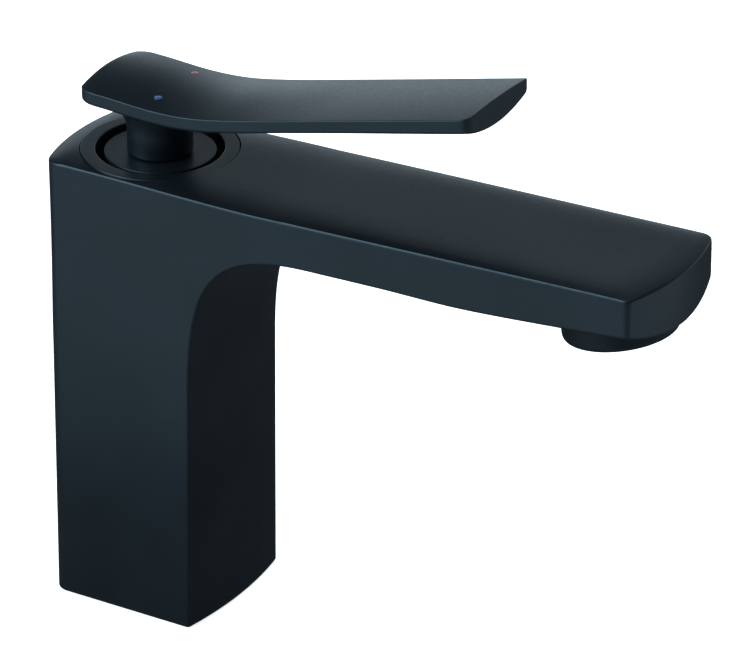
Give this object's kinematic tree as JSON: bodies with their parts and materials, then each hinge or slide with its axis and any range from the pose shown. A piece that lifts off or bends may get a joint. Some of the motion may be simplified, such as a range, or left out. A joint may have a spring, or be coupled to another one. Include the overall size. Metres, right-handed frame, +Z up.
{
  "type": "bathroom mixer faucet",
  "caption": "Tall square basin mixer with a flat spout, a paddle lever that tilts and swivels, a ceramic disc cartridge and a tilted aerator.",
  "frame": {"origin": "on the deck plane under the body, on the vertical axis of the cartridge", "axes": "+Z up out of the deck, +X along the spout towards the user, Y across"},
  "size_m": [0.1967, 0.05, 0.1803],
  "materials": {
    "black_body": "satin black powder coat over cast brass, slate tint in the highlights",
    "black_trim": "satin black on turned brass",
    "brass": "bare machined brass",
    "steel": "stainless steel",
    "rubber": "black EPDM",
    "seal_rubber": "black nitrile, lightly greased",
    "ceramic": "lapped alumina ceramic, off-white",
    "acetal": "natural white acetal",
    "aerator_plastic": "light grey acetal",
    "limit_red": "red acetal",
    "cold_enamel": "blue enamel",
    "hot_enamel": "muted red enamel"
  },
  "bodies": {
    "fixed": {"body": "black_body", "base_gasket": "rubber", "trim_ring": "black_trim", "retaining_nut": "brass", "slip_washer": "acetal", "cartridge_housing": "acetal", "cartridge_base": "acetal", "cold_seat_seal": "seal_rubber", "cold_disc_seal": "seal_rubber", "hot_seat_seal": "seal_rubber", "hot_disc_seal": "seal_rubber", "outlet_seat_seal": "seal_rubber", "outlet_disc_seal": "seal_rubber", "fixed_disc": "ceramic", "aerator_collar": "black_trim", "aerator_core": "aerator_plastic", "aerator_screen": "steel", "aerator_washer": "rubber"},
    "rotor": {"lever_rotor": "acetal", "limit_ring": "limit_red", "pivot_pin": "steel"},
    "disc_slider": {"moving_disc": "ceramic", "disc_carrier": "acetal"},
    "lever": {"lever_handle": "black_body", "spindle": "brass", "hub_disc": "black_trim", "set_screw": "steel", "screw_plug": "rubber", "cold_dot": "cold_enamel", "hot_dot": "hot_enamel"}
  },
  "joints": [
    {"name": "swivel", "type": "hinge", "parent": "fixed", "child": "rotor", "pos_m": [0, 0, 0.1303], "axis": [0, 0, 1], "range_deg": [-50, 50]},
    {"name": "tilt", "type": "hinge", "parent": "rotor", "child": "lever", "pos_m": [0, 0, 0.1303], "axis": [0, -1, 0], "range_deg": [0, 25]},
    {"name": "disc_slide", "type": "slide", "parent": "rotor", "child": "disc_slider", "axis": [1, 0, 0], "range_m": [0, 0.0062]}
  ],
  "couplings": [
    {"joint": "disc_slide", "follows": "tilt", "m_per_rad": 0.014}
  ]
}
